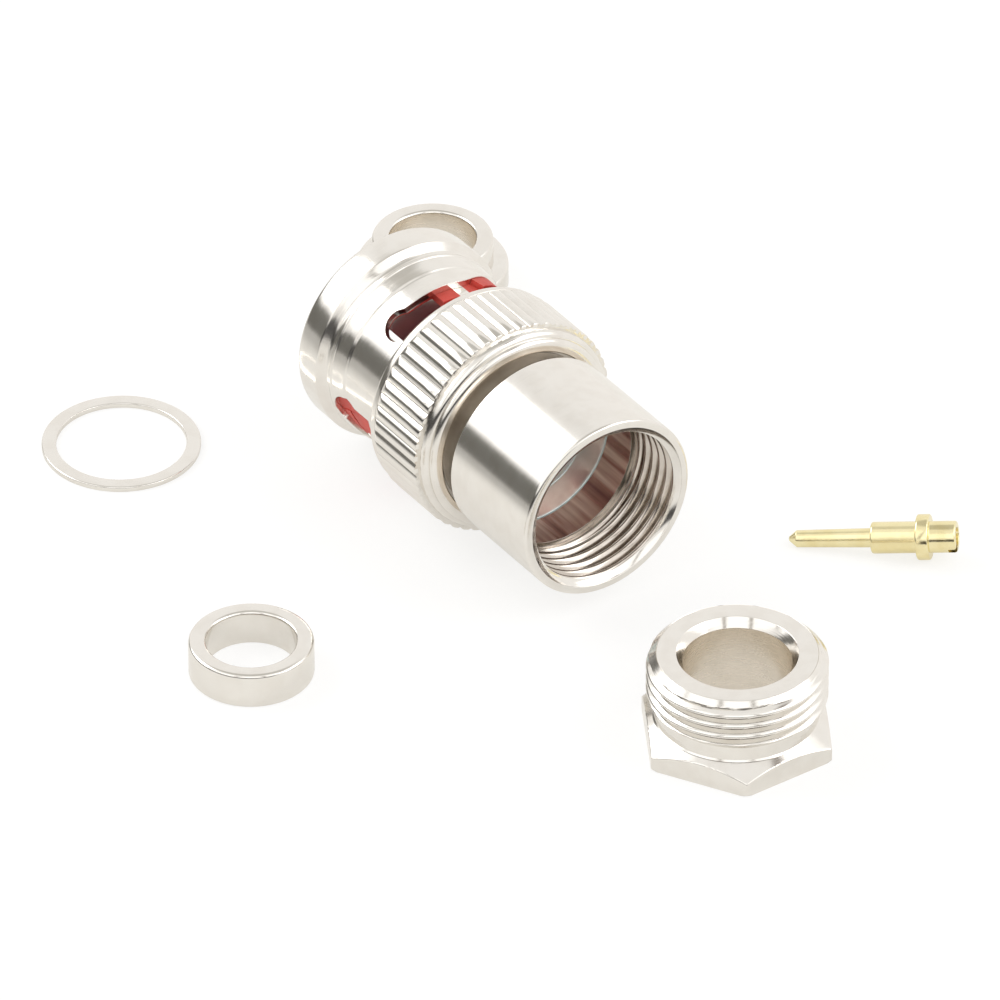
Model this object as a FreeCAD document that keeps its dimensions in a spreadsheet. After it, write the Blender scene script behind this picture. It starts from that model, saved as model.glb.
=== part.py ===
"""Clamp-type BNC plug with its cable-end pieces laid out beside it, in millimetres.

The plug lies on its side with its axis along Y. The origin is the centre of the cable thread's
mouth, the mating end points to +Y, and Z is up. Every piece of the plug is drawn standing, with
its axis along Z, and is then laid down. The loose pieces stand or lie on the same surface as the
plug, which touches it with its knurled ring.
"""

import FreeCAD, Part
import math
import os

import Sketcher

Vector = FreeCAD.Vector
Rotation = FreeCAD.Rotation

# Each size is written once here. Lengths are millimetres and angles are degrees.
SIZES = {
    # barrel: the turned body that takes the cable end
    "barrel_od": 12.1,
    "barrel_length": 8.0,
    "rim_round": 0.22,
    "thread_minor": 10.2,
    "thread_length": 4.1,
    "thread_chamfer": 0.3,
    "relief_depth": 0.2,
    "relief_width": 0.55,
    "chamber_bore": 10.0,
    "web_thickness": 0.8,
    "web_hole": 5.9,
    "shank_socket_depth": 1.9,
    "shoulder_chamfer": 0.6,
    "boss_od": 10.8,
    "boss_length": 1.3,
    # outer contact: spring ferrule, flange, neck and shank in one piece
    "shank_od": 8.8,
    "neck_od": 9.7,
    "contact_bore": 6.9,
    "flange_thickness": 1.0,
    "ferrule_od": 8.1,
    "ferrule_bore": 7.0,
    "ferrule_length": 6.4,
    "ferrule_nose": 0.25,
    "finger_slot": 0.4,
    "finger_length": 4.6,
    # insulator
    "insulator_length": 8.0,
    "pin_hole": 1.44,
    "pin_socket": 2.06,
    "pin_socket_depth": 3.0,
    # springs, washers and rings in the coupling nut
    "gasket_od": 9.7,
    "gasket_thickness": 0.9,
    "retaining_thickness": 0.55,
    "retaining_depth": 0.32,
    "retaining_gap": 2.4,
    "thrust_thickness": 0.3,
    "spring_thickness": 0.2,
    "spring_bow": 0.76,
    # coupling nut
    "coupling_length": 14.3,
    "coupling_bore": 11.4,
    "skirt_cover": 0.6,
    "lip_od": 11.95,
    "bevel_length": 0.95,
    "bevel_od": 14.0,
    "knurl_od": 14.5,
    "knurl_length": 5.25,
    "knurl_edge": 0.3,
    "knurl_count": 50,
    "knurl_depth": 0.26,
    "knurl_gap": 0.42,
    "sleeve_od": 12.3,
    "ledge_od": 12.8,
    "ledge_width": 0.8,
    "band_od": 13.7,
    "band_width": 2.1,
    "band_edge": 0.2,
    "step_length": 0.25,
    "ledge_slope": 0.9,
    "mating_bore": 9.9,
    "mating_chamfer": 0.3,
    "band_inside": 2.9,
    # cam slots: each has a round hole at both ends, and the milled lug channel runs out behind its entry
    "slot_width": 2.1,
    "slot_hole": 2.4,
    "slot_setback": 0.25,
    "slot_entry_depth": 4.2,
    "slot_detent_step": 0.3,
    "slot_entry_angle": -17.9,
    "slot_ramp_angle": 53.0,
    "slot_flat_angle": 45.5,
    "slot_detent_angle": 8.0,
    "channel_runout": 2.4,
    "channel_width": 1.7,
    "liner_bore": 10.24,
    "liner_overlap": 0.5,
    "liner_slot_width": 1.8,
    # clamp nut
    "nut_across_flats": 10.9,
    "nut_hex_height": 1.75,
    "nut_hex_chamfer_angle": 33.0,
    "nut_neck_od": 10.0,
    "nut_thread_major": 11.0,
    "nut_thread_length": 2.7,
    "nut_height": 6.15,
    "nut_thread_chamfer": 0.65,
    "nut_bore": 6.6,
    "nut_bore_chamfer": 0.4,
    "nut_bore_chamfer_depth": 0.6,
    # braid clamp, clamp ring and clamp washer
    "clamp_flange_od": 9.6,
    "clamp_flange_height": 1.6,
    "clamp_collar_od": 7.7,
    "clamp_height": 3.45,
    "clamp_edge": 0.3,
    "braid_bore": 5.5,
    "braid_bore_chamfer": 0.2,
    "ring_od": 7.65,
    "ring_height": 2.3,
    "ring_edge": 0.25,
    "washer_od": 9.9,
    "washer_bore": 8.1,
    "washer_thickness": 0.35,
    "washer_edge": 0.1,
    # centre pin
    "pin_nose_radius": 0.14,
    "pin_nose_length": 0.9,
    "pin_tip_od": 1.06,
    "pin_root_od": 1.32,
    "pin_slim_length": 5.15,
    "pin_barrel_od": 1.96,
    "pin_barrel_length": 5.3,
    "pin_edge": 0.14,
    "collar_od": 2.84,
    "collar_thickness": 0.82,
    "collar_setback": 2.84,
    "solder_bore": 1.2,
    "solder_depth": 2.1,
    "solder_notch": 0.5,
    # clearances
    "press_clearance": 0.01,
    "running_clearance": 0.08,
    "face_clearance": 0.03,
    # where the loose pieces lie, measured from the origin
    "nut_x": -1.2,
    "nut_y": -15.35,
    "nut_turn_angle": 0.3,
    "washer_x": -15.32,
    "washer_y": 30.73,
    "ring_x": -21.61,
    "ring_y": 6.67,
    "clamp_x": 10.68,
    "clamp_y": 34.58,
    "pin_x": 18.88,
    "pin_y": -6.92,
    "pin_turn_angle": 137.0,
}

DOCUMENT = FreeCAD.newDocument("bnc_connector")
pieces = []


def make_sheet():
    sheet = DOCUMENT.addObject("Spreadsheet::Sheet", "sizes")
    for row, (alias, value) in enumerate(SIZES.items(), start=1):
        sheet.set("A%d" % row, alias)
        sheet.set("B%d" % row, str(value))
        sheet.setAlias("B%d" % row, alias)
    DOCUMENT.recompute()
    return sheet


sheet = make_sheet()


def measure(expression):
    """The value of an expression in the sheet's sizes."""
    return float(sheet.evalExpression(expression))


# Places along the plug's axis, measured forward from the mouth of the barrel.
CHAMBER_FLOOR = "sizes.barrel_length - sizes.web_thickness"
BOSS_FRONT = "sizes.barrel_length + sizes.shoulder_chamfer + sizes.boss_length"
SOCKET_FLOOR = BOSS_FRONT + " - sizes.shank_socket_depth"
RETAINING_REAR = BOSS_FRONT + " + sizes.face_clearance"
THRUST_REAR = RETAINING_REAR + " + sizes.retaining_thickness + sizes.face_clearance"
SPRING_REAR = THRUST_REAR + " + sizes.thrust_thickness + sizes.face_clearance"
SPRING_HEIGHT = "sizes.spring_thickness + sizes.spring_bow"
SPRING_MIDDLE = SPRING_REAR + " + " + SPRING_HEIGHT
FLANGE_REAR = SPRING_MIDDLE + " + " + SPRING_HEIGHT + " + sizes.face_clearance"
FLANGE_FRONT = FLANGE_REAR + " + sizes.flange_thickness"
COUPLING_REAR = BOSS_FRONT + " - sizes.skirt_cover"
COUPLING_FRONT = COUPLING_REAR + " + sizes.coupling_length"
KNURL_REAR = COUPLING_REAR + " + sizes.bevel_length"
KNURL_FRONT = KNURL_REAR + " + sizes.knurl_length"
BAND_SHOULDER = COUPLING_FRONT + " - sizes.band_inside"
SLOT_RUN = KNURL_FRONT + " + sizes.slot_width / 2 + sizes.slot_setback"
FLOOR = "-sizes.knurl_od / 2"


def lay_down(piece):
    """Turns a piece of the plug from standing along Z to lying along Y."""
    piece.Placement = FreeCAD.Placement(Vector(), Rotation(Vector(1, 0, 0), -90))


def stand(piece, x, y, turn="0"):
    """Stands a loose piece on the surface, turned about its own axis."""
    piece.Placement = FreeCAD.Placement(Vector(), Rotation(Vector(0, 0, 1), measure(turn)))
    piece.setExpression("Placement.Base.x", x)
    piece.setExpression("Placement.Base.y", y)
    piece.setExpression("Placement.Base.z", FLOOR)


def keep(piece, label):
    piece.Label = label
    pieces.append(piece)
    return piece


def arc_edge(start, end, radius, side):
    """An arc from start to end; side is 1 when it bulges to the left of the way it goes."""
    half = (end - start) / 2
    middle = start + half
    reach = max(radius * radius - half.Length ** 2, 0.0) ** 0.5
    left = Vector(-half.y, half.x, 0).normalize()
    centre = middle - left * side * reach
    top = centre + left * side * radius
    return Part.Arc(start, top, end)


def draw_outline(sketch, corners):
    """Draws a closed outline whose corners and arc radii are bound to the sheet.

    A corner is (across, up), or (across, up, radius, side) where the edge that ends in it is
    an arc.
    """
    ends = [Vector(measure(corner[0]), measure(corner[1]), 0) for corner in corners]
    for number, corner in enumerate(corners):
        start = ends[number - 1]
        if len(corner) == 4:
            sketch.addGeometry(arc_edge(start, ends[number], measure(corner[2]), corner[3]))
        else:
            sketch.addGeometry(Part.LineSegment(start, ends[number]))
    finish = []
    for number, corner in enumerate(corners):
        forward = True
        if len(corner) == 4:
            arc = sketch.Geometry[number]
            forward = (arc.StartPoint - ends[number - 1]).Length < (arc.EndPoint - ends[number - 1]).Length
        finish.append((2, 1) if forward else (1, 2))
    for number, corner in enumerate(corners):
        before = number - 1 if number else len(corners) - 1
        sketch.addConstraint(
            Sketcher.Constraint("Coincident", before, finish[before][0], number, finish[number][1]))
    for number, corner in enumerate(corners):
        end = finish[number][0]
        for kind, which, expression in (("DistanceX", "across", corner[0]), ("DistanceY", "up", corner[1])):
            value = measure(expression)
            if expression == "0":
                axis = -2 if kind == "DistanceX" else -1
                sketch.addConstraint(Sketcher.Constraint("PointOnObject", number, end, axis))
                continue
            index = sketch.addConstraint(Sketcher.Constraint(kind, -1, 1, number, end, value))
            sketch.renameConstraint(index, "%s%d" % (which, number))
            sketch.setExpression("Constraints.%s%d" % (which, number), expression)
        if len(corner) == 4:
            index = sketch.addConstraint(Sketcher.Constraint("Radius", number, measure(corner[2])))
            sketch.renameConstraint(index, "radius%d" % number)
            sketch.setExpression("Constraints.radius%d" % number, corner[2])


def attach(body, sketch, role):
    plane = [item for item in body.Origin.OriginFeatures if item.Role == role][0]
    sketch.AttachmentSupport = [(plane, "")]
    sketch.MapMode = "FlatFace"


def turned(name, corners):
    """A body turned about Z from half of its section, drawn as (radius, height) corners."""
    body = DOCUMENT.addObject("PartDesign::Body", name)
    sketch = body.newObject("Sketcher::SketchObject", name + "_section")
    attach(body, sketch, "XZ_Plane")
    draw_outline(sketch, corners)
    turn = body.newObject("PartDesign::Revolution", name + "_turning")
    turn.Profile = sketch
    turn.ReferenceAxis = (sketch, ["V_Axis"])
    turn.Angle = 360
    DOCUMENT.recompute()
    return body


def primitive(kind, name, **bound):
    """A Part primitive with its properties bound to the sheet."""
    item = DOCUMENT.addObject("Part::" + kind, name)
    for key, expression in bound.items():
        item.setExpression(key.replace("_", "."), expression)
    return item


def fused(name, shapes):
    item = DOCUMENT.addObject("Part::MultiFuse", name)
    item.Shapes = shapes
    item.Refine = True
    return item


def cut(name, base, tool):
    item = DOCUMENT.addObject("Part::Cut", name)
    item.Base = base
    item.Tool = tool
    item.Refine = True
    return item


def common(name, base, tool):
    item = DOCUMENT.addObject("Part::MultiCommon", name)
    item.Shapes = [base, tool]
    return item


def make_plug_body():
    """Barrel: outside cylinder with a boss in front, cable thread, chamber and web."""
    body = turned("plug_body", [
        ("sizes.thread_minor / 2 + sizes.thread_chamfer", "0"),
        ("sizes.barrel_od / 2 - sizes.rim_round", "0"),
        ("sizes.barrel_od / 2", "sizes.rim_round", "sizes.rim_round", -1),
        ("sizes.barrel_od / 2", "sizes.barrel_length"),
        ("sizes.barrel_od / 2 - sizes.shoulder_chamfer", "sizes.barrel_length + sizes.shoulder_chamfer"),
        ("sizes.boss_od / 2", "sizes.barrel_length + sizes.shoulder_chamfer"),
        ("sizes.boss_od / 2", BOSS_FRONT),
        ("sizes.shank_od / 2", BOSS_FRONT),
        ("sizes.shank_od / 2", SOCKET_FLOOR),
        ("sizes.web_hole / 2", SOCKET_FLOOR),
        ("sizes.web_hole / 2", CHAMBER_FLOOR),
        ("sizes.chamber_bore / 2", CHAMBER_FLOOR),
        ("sizes.chamber_bore / 2", "sizes.thread_length + sizes.relief_width"),
        ("sizes.thread_minor / 2 + sizes.relief_depth", "sizes.thread_length + sizes.relief_width"),
        ("sizes.thread_minor / 2 + sizes.relief_depth", "sizes.thread_length"),
        ("sizes.thread_minor / 2", "sizes.thread_length"),
        ("sizes.thread_minor / 2", "sizes.thread_chamfer"),
    ])
    lay_down(body)
    keep(body, "plug_body")


def make_outer_contact():
    """Shank, neck, flange and a spring ferrule with four slots."""
    outside = "sizes.ferrule_od / 2"
    front = FLANGE_FRONT + " + sizes.ferrule_length"
    body = turned("contact_blank", [
        ("sizes.contact_bore / 2", SOCKET_FLOOR),
        ("sizes.shank_od / 2 - sizes.press_clearance", SOCKET_FLOOR),
        ("sizes.shank_od / 2 - sizes.press_clearance", BOSS_FRONT),
        ("sizes.neck_od / 2", BOSS_FRONT),
        ("sizes.neck_od / 2", FLANGE_REAR),
        ("sizes.coupling_bore / 2 - sizes.running_clearance", FLANGE_REAR),
        ("sizes.coupling_bore / 2 - sizes.running_clearance", FLANGE_FRONT),
        (outside, FLANGE_FRONT),
        (outside, front + " - sizes.ferrule_nose"),
        (outside + " - sizes.ferrule_nose", front, "sizes.ferrule_nose", -1),
        ("sizes.ferrule_bore / 2", front),
        ("sizes.ferrule_bore / 2", FLANGE_FRONT),
        ("sizes.contact_bore / 2", FLANGE_FRONT),
    ])
    slots = []
    for number in range(2):
        slot = primitive(
            "Box", "finger_slot_%d" % number,
            Length="2 * sizes.ferrule_od", Width="sizes.finger_slot", Height="sizes.finger_length + sizes.ferrule_nose",
            Placement_Base_z=front + " - sizes.finger_length")
        turn = 45 + 90 * number
        rotation = Rotation(Vector(0, 0, 1), turn)
        centre = rotation.multVec(Vector(-measure("sizes.ferrule_od"), -measure("sizes.finger_slot / 2"), 0))
        slot.Placement = FreeCAD.Placement(centre, rotation)
        slots.append(slot)
    slotted = cut("outer_contact", body, fused("finger_slots", slots))
    lay_down(slotted)
    keep(slotted, "outer_contact")


def make_insulator():
    """Bead with a stepped hole: the pin's barrel seats in the rear and its tip goes through."""
    front = CHAMBER_FLOOR + " + sizes.insulator_length"
    pin_seat = CHAMBER_FLOOR + " + sizes.pin_socket_depth"
    body = turned("insulator", [
        ("sizes.pin_socket / 2", CHAMBER_FLOOR),
        ("sizes.web_hole / 2 - sizes.press_clearance", CHAMBER_FLOOR),
        ("sizes.web_hole / 2 - sizes.press_clearance", SOCKET_FLOOR),
        ("sizes.contact_bore / 2 - sizes.press_clearance", SOCKET_FLOOR),
        ("sizes.contact_bore / 2 - sizes.press_clearance", front),
        ("sizes.pin_hole / 2", front),
        ("sizes.pin_hole / 2", pin_seat),
        ("sizes.pin_socket / 2", pin_seat),
    ])
    lay_down(body)
    keep(body, "insulator")


def flat_ring(name, bore, outside, rear, thickness):
    """A plain ring with a rectangular section, standing on the height called rear."""
    top = rear + " + " + thickness
    return turned(name, [(bore, rear), (outside, rear), (outside, top), (bore, top)])


def make_front_gasket():
    ring = flat_ring(
        "front_gasket", "sizes.ferrule_od / 2 + sizes.press_clearance", "sizes.gasket_od / 2",
        FLANGE_FRONT, "sizes.gasket_thickness")
    lay_down(ring)
    keep(ring, "front_gasket")


def make_retaining_ring():
    """C-ring that snaps into the groove of the coupling nut and runs on the contact's neck."""
    ring = flat_ring(
        "retaining_blank", "sizes.neck_od / 2 + sizes.running_clearance",
        "sizes.coupling_bore / 2 + sizes.retaining_depth", RETAINING_REAR, "sizes.retaining_thickness")
    gap = primitive(
        "Box", "retaining_gap", Length="sizes.coupling_bore", Width="sizes.retaining_gap",
        Height="sizes.coupling_bore", Placement_Base_y="-sizes.retaining_gap / 2")
    open_ring = cut("retaining_ring", ring, gap)
    lay_down(open_ring)
    keep(open_ring, "retaining_ring")


def make_thrust_washer():
    ring = flat_ring(
        "thrust_washer", "sizes.neck_od / 2 + sizes.running_clearance",
        "sizes.coupling_bore / 2 - sizes.running_clearance", THRUST_REAR, "sizes.thrust_thickness")
    lay_down(ring)
    keep(ring, "thrust_washer")


def make_spring_washer(label, low_edge, crest_up):
    """A washer bowed about one line, cut as a ring out of a bent sheet."""
    outside = "sizes.coupling_bore / 2 - sizes.running_clearance"
    ring = flat_ring(
        label + "_ring", "sizes.neck_od / 2 + sizes.running_clearance", outside, low_edge, SPRING_HEIGHT)
    bend = "((%s) ^ 2 + sizes.spring_bow ^ 2) / (2 * sizes.spring_bow)" % outside
    outer = primitive("Cylinder", label + "_outer", Radius=bend + " + sizes.spring_thickness",
                      Height="sizes.coupling_bore")
    inner = primitive("Cylinder", label + "_inner", Radius=bend, Height="sizes.coupling_bore")
    sheet_metal = cut(label + "_sheet", outer, inner)
    if crest_up:
        centre = low_edge + " + " + SPRING_HEIGHT + " - (" + bend + ") - sizes.spring_thickness"
    else:
        centre = low_edge + " + (" + bend + ") + sizes.spring_thickness"
    sheet_metal.Placement = FreeCAD.Placement(Vector(), Rotation(Vector(0, 1, 0), 90))
    sheet_metal.setExpression("Placement.Base.x", "-sizes.coupling_bore / 2")
    sheet_metal.setExpression("Placement.Base.z", centre)
    washer = common(label, ring, sheet_metal)
    lay_down(washer)
    keep(washer, label)


def slot_cutter(name, width, runs_out):
    """Two helical cam slots: round entry, ramp, flat run and a detent that sits forward.

    Where runs_out is set, the straight lug channel goes on behind the entry, towards the knurl.
    """
    reach = "sizes.band_od / 2"
    hole_radius = "(%s + sizes.slot_hole - sizes.slot_width) / 2" % width
    entry_up = COUPLING_FRONT + " - sizes.slot_entry_depth"
    ramp_rise = "(%s - (%s))" % (entry_up, SLOT_RUN)
    entry_turn = measure("sizes.slot_entry_angle")
    run_turn = entry_turn - measure("sizes.slot_ramp_angle")
    flat_end = run_turn - measure("sizes.slot_flat_angle")
    detent_turn = flat_end - measure("sizes.slot_detent_angle")

    spine = primitive(
        "Helix", name + "_spine", Pitch=ramp_rise + " * 360 / sizes.slot_ramp_angle",
        Height=ramp_rise, Radius=reach)
    section = DOCUMENT.addObject("Sketcher::SketchObject", name + "_section")
    section.Placement = FreeCAD.Placement(Vector(), Rotation(Vector(1, 0, 0), 90))
    inner = "sizes.mating_bore / 4"
    draw_outline(section, [
        (inner, "-(%s) / 2" % width),
        (reach, "-(%s) / 2" % width),
        (reach, "(%s) / 2" % width),
        (inner, "(%s) / 2" % width),
    ])
    DOCUMENT.recompute()
    ramp = DOCUMENT.addObject("Part::Sweep", name + "_ramp")
    ramp.Sections = [section]
    ramp.Spine = (spine, ["Edge1"])
    ramp.Solid = True
    ramp.Frenet = True
    ramp.Placement = FreeCAD.Placement(Vector(), Rotation(Vector(0, 0, 1), run_turn))
    ramp.setExpression("Placement.Base.z", SLOT_RUN)

    flat = primitive("Cylinder", name + "_flat", Radius=reach, Height=width, Angle="sizes.slot_flat_angle")
    flat.Placement = FreeCAD.Placement(Vector(), Rotation(Vector(0, 0, 1), flat_end))
    flat.setExpression("Placement.Base.z", SLOT_RUN + " - (%s) / 2" % width)

    rounds = []
    for mark, up, turn, radius in (
            ("entry", entry_up, entry_turn, hole_radius),
            ("run", SLOT_RUN, flat_end, "(%s) / 2" % width),
            ("detent", SLOT_RUN + " + sizes.slot_detent_step", detent_turn, hole_radius)):
        hole = primitive("Cylinder", "%s_%s" % (name, mark), Radius=radius, Height=reach)
        aim = Rotation(Vector(0, 0, 1), turn).multiply(Rotation(Vector(0, 1, 0), 90))
        hole.Placement = FreeCAD.Placement(Vector(), aim)
        hole.setExpression("Placement.Base.z", up)
        rounds.append(hole)

    groove = primitive(
        "Box", name + "_groove", Length="sizes.coupling_bore / 2", Width=width,
        Height="sizes.slot_entry_depth + sizes.mating_chamfer")
    rotation = Rotation(Vector(0, 0, 1), entry_turn)
    corner = rotation.multVec(Vector(0, -measure(width) / 2, 0))
    groove.Placement = FreeCAD.Placement(corner, rotation)
    groove.setExpression("Placement.Base.z", entry_up)

    tools = [ramp, flat, groove] + rounds
    if runs_out:
        channel = primitive(
            "Box", name + "_channel", Length=reach, Width="sizes.channel_width", Height="sizes.channel_runout")
        channel.Placement = FreeCAD.Placement(
            rotation.multVec(Vector(0, -measure("sizes.channel_width") / 2, 0)), rotation)
        channel.setExpression("Placement.Base.z", entry_up + " - sizes.channel_runout")
        tools.append(channel)
    one = fused(name + "_one", tools)
    pair = []
    for number in range(2):
        turned_copy = DOCUMENT.addObject("Part::Compound", "%s_side_%d" % (name, number))
        turned_copy.Links = [one]
        turned_copy.Placement = FreeCAD.Placement(Vector(), Rotation(Vector(0, 0, 1), 180 * number))
        pair.append(turned_copy)
    return pair


def make_coupling_nut():
    """Bayonet nut: band, ledge and sleeve in front, knurled ring and rounded bevel behind."""
    knurl = "sizes.knurl_od / 2"
    crown = "sizes.bevel_od / 2"
    lip = "sizes.lip_od / 2"
    bore = "sizes.coupling_bore / 2"
    groove = bore + " + sizes.retaining_depth + sizes.face_clearance"
    ledge_rear = COUPLING_FRONT + " - sizes.band_width - sizes.ledge_width"
    band_rear = COUPLING_FRONT + " - sizes.band_width"
    retaining_front = RETAINING_REAR + " + sizes.retaining_thickness + sizes.face_clearance / 2"
    retaining_rear = RETAINING_REAR + " - sizes.face_clearance / 2"
    half_bevel = "sizes.bevel_length / 2"
    half_fall = "(sizes.bevel_od - sizes.lip_od) / 4"
    body = turned("coupling_blank", [
        (bore, COUPLING_REAR),
        (lip, COUPLING_REAR),
        (lip + " + " + half_fall, COUPLING_REAR + " + " + half_bevel, "sizes.bevel_length", -1),
        (crown, KNURL_REAR, "sizes.bevel_length", -1),
        (knurl + " - sizes.knurl_edge / 2", KNURL_REAR + " + sizes.knurl_edge / 2"),
        (knurl, KNURL_REAR + " + sizes.knurl_edge"),
        (knurl, KNURL_FRONT + " - sizes.knurl_edge"),
        (knurl + " - sizes.knurl_edge", KNURL_FRONT),
        ("sizes.sleeve_od / 2", KNURL_FRONT),
        ("sizes.sleeve_od / 2", ledge_rear + " - sizes.ledge_slope"),
        ("sizes.ledge_od / 2", ledge_rear),
        ("sizes.ledge_od / 2", band_rear + " - sizes.step_length"),
        ("sizes.band_od / 2 - sizes.band_edge", band_rear),
        ("sizes.band_od / 2", band_rear + " + sizes.band_edge"),
        ("sizes.band_od / 2", COUPLING_FRONT + " - sizes.band_edge"),
        ("sizes.band_od / 2 - sizes.band_edge", COUPLING_FRONT, "sizes.band_edge", -1),
        ("sizes.mating_bore / 2 + sizes.mating_chamfer", COUPLING_FRONT),
        ("sizes.mating_bore / 2", COUPLING_FRONT + " - sizes.mating_chamfer"),
        ("sizes.mating_bore / 2", BAND_SHOULDER),
        (bore, BAND_SHOULDER),
        (bore, retaining_front),
        (groove, retaining_front),
        (groove, retaining_rear),
        (bore, retaining_rear),
    ])
    notch = body.newObject("Sketcher::SketchObject", "knurl_notch")
    attach(body, notch, "XY_Plane")
    notch.AttachmentOffset = FreeCAD.Placement(Vector(), Rotation())
    notch.setExpression("AttachmentOffset.Base.z", KNURL_REAR)
    draw_outline(notch, [
        (knurl + " - sizes.knurl_depth", "0"),
        (knurl + " + sizes.knurl_depth", "sizes.knurl_gap"),
        (knurl + " + sizes.knurl_depth", "-sizes.knurl_gap"),
    ])
    groove_cut = body.newObject("PartDesign::Pocket", "knurl_groove")
    groove_cut.Profile = notch
    groove_cut.Reversed = True
    groove_cut.Type = 0
    groove_cut.setExpression("Length", "sizes.knurl_length")
    DOCUMENT.recompute()
    knurling = body.newObject("PartDesign::PolarPattern", "knurling")
    knurling.Originals = [groove_cut]
    knurling.Axis = (notch, ["N_Axis"])
    knurling.Angle = 360
    knurling.setExpression("Occurrences", "sizes.knurl_count")
    body.Tip = knurling
    DOCUMENT.recompute()
    nut = cut("coupling_nut", body, fused("nut_slots", slot_cutter("nut_slot", "sizes.slot_width", True)))
    lay_down(nut)
    keep(nut, "coupling_nut")


def make_slot_liner():
    """Red liner of the slots, pressed into the nut up to the shoulder of its band."""
    outside = "sizes.coupling_bore / 2 - sizes.press_clearance"
    rear = KNURL_FRONT + " - sizes.liner_overlap"
    ring = flat_ring(
        "liner_blank", "sizes.liner_bore / 2", outside, rear, "(%s - (%s))" % (BAND_SHOULDER, rear))
    liner = cut("slot_liner", ring, fused("liner_slots", slot_cutter("liner_slot", "sizes.liner_slot_width", False)))
    lay_down(liner)
    keep(liner, "slot_liner")


def make_clamp_nut():
    """Hexagon with chamfered corners, neck and outside thread, bored for the cable."""
    hexagon = primitive("Prism", "nut_hexagon", Circumradius="sizes.nut_across_flats / 2 / cos(30)",
                        Height="sizes.nut_hex_height")
    hexagon.Polygon = 6
    slope = "tan(sizes.nut_hex_chamfer_angle)"
    bottom = "(sizes.nut_neck_od / 2 + sizes.nut_hex_height / %s)" % slope
    cone = primitive("Cone", "nut_corner_cone", Radius1=bottom, Radius2="sizes.nut_neck_od / 2",
                     Height="sizes.nut_hex_height")
    head = common("nut_head", hexagon, cone)
    thread_rear = "sizes.nut_height - sizes.nut_thread_length"
    thread = "sizes.nut_thread_major / 2"
    shank = turned("nut_shank", [
        ("sizes.nut_bore / 2", "0"),
        ("sizes.nut_neck_od / 2", "0"),
        ("sizes.nut_neck_od / 2", thread_rear + " - (%s - sizes.nut_neck_od / 2)" % thread),
        (thread, thread_rear),
        (thread, "sizes.nut_height - sizes.nut_thread_chamfer"),
        (thread + " - sizes.nut_thread_chamfer", "sizes.nut_height"),
        ("sizes.nut_bore / 2 + sizes.nut_bore_chamfer", "sizes.nut_height"),
        ("sizes.nut_bore / 2", "sizes.nut_height - sizes.nut_bore_chamfer_depth"),
    ])
    bore = primitive("Cylinder", "nut_bore_tool", Radius="sizes.nut_bore / 2", Height="sizes.nut_height")
    bored_head = cut("nut_bored_head", head, bore)
    nut = fused("clamp_nut", [bored_head, shank])
    stand(nut, "sizes.nut_x", "sizes.nut_y", "sizes.nut_turn_angle")
    keep(nut, "clamp_nut")


def make_braid_clamp():
    """Flanged ring that the cable's braid is folded over."""
    collar = "sizes.clamp_collar_od / 2"
    flange = "sizes.clamp_flange_od / 2"
    bore = "sizes.braid_bore / 2"
    body = turned("braid_clamp", [
        (bore, "0"),
        (flange, "0"),
        (flange, "sizes.clamp_flange_height - sizes.clamp_edge"),
        (flange + " - sizes.clamp_edge", "sizes.clamp_flange_height"),
        (collar, "sizes.clamp_flange_height"),
        (collar, "sizes.clamp_height - sizes.clamp_edge"),
        (collar + " - sizes.clamp_edge", "sizes.clamp_height"),
        (bore + " + sizes.braid_bore_chamfer", "sizes.clamp_height"),
        (bore, "sizes.clamp_height - sizes.braid_bore_chamfer"),
    ])
    stand(body, "sizes.clamp_x", "sizes.clamp_y")
    keep(body, "braid_clamp")


def make_clamp_ring():
    outside = "sizes.ring_od / 2"
    bore = "sizes.braid_bore / 2"
    body = turned("clamp_ring", [
        (bore, "0"),
        (outside, "0"),
        (outside, "sizes.ring_height - sizes.ring_edge"),
        (outside + " - sizes.ring_edge", "sizes.ring_height"),
        (bore + " + sizes.braid_bore_chamfer", "sizes.ring_height"),
        (bore, "sizes.ring_height - sizes.braid_bore_chamfer"),
    ])
    stand(body, "sizes.ring_x", "sizes.ring_y")
    keep(body, "clamp_ring")


def make_clamp_washer():
    outside = "sizes.washer_od / 2"
    bore = "sizes.washer_bore / 2"
    body = turned("clamp_washer", [
        (bore, "0"),
        (outside, "0"),
        (outside, "sizes.washer_thickness - sizes.washer_edge"),
        (outside + " - sizes.washer_edge", "sizes.washer_thickness"),
        (bore + " + sizes.washer_edge", "sizes.washer_thickness"),
        (bore, "sizes.washer_thickness - sizes.washer_edge"),
    ])
    stand(body, "sizes.washer_x", "sizes.washer_y")
    keep(body, "clamp_washer")


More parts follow.
